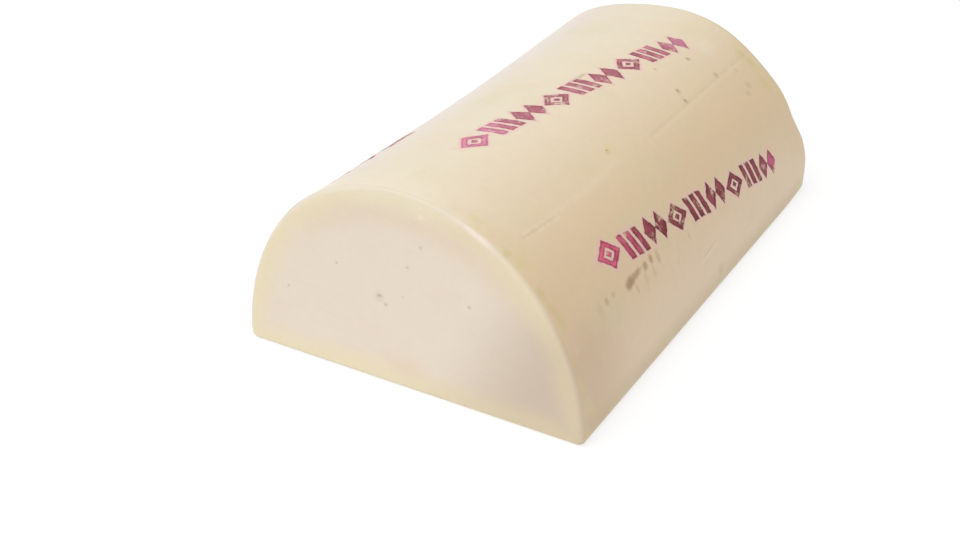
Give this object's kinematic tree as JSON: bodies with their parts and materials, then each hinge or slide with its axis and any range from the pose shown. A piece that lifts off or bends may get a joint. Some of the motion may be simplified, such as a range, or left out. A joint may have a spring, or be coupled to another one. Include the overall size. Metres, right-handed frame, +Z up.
{
  "type": "provolone cheese",
  "caption": "Half-moon loaf of provolone lying on its flat side, with one end cut across and a waxy pale rind.",
  "frame": {"origin": "under the middle of the loaf's box, on the surface that it lies on", "axes": "+Z up, +Y along the loaf from its cut face towards its moulded end, +X across the flat side"},
  "size_m": [0.198, 0.3354, 0.1075],
  "materials": {
    "rind": "satin, slightly waxy pale rind; the cut end is a smoother, paler paste"
  },
  "bodies": {
    "root": {"provolone_loaf": "rind"}
  },
  "joints": []
}
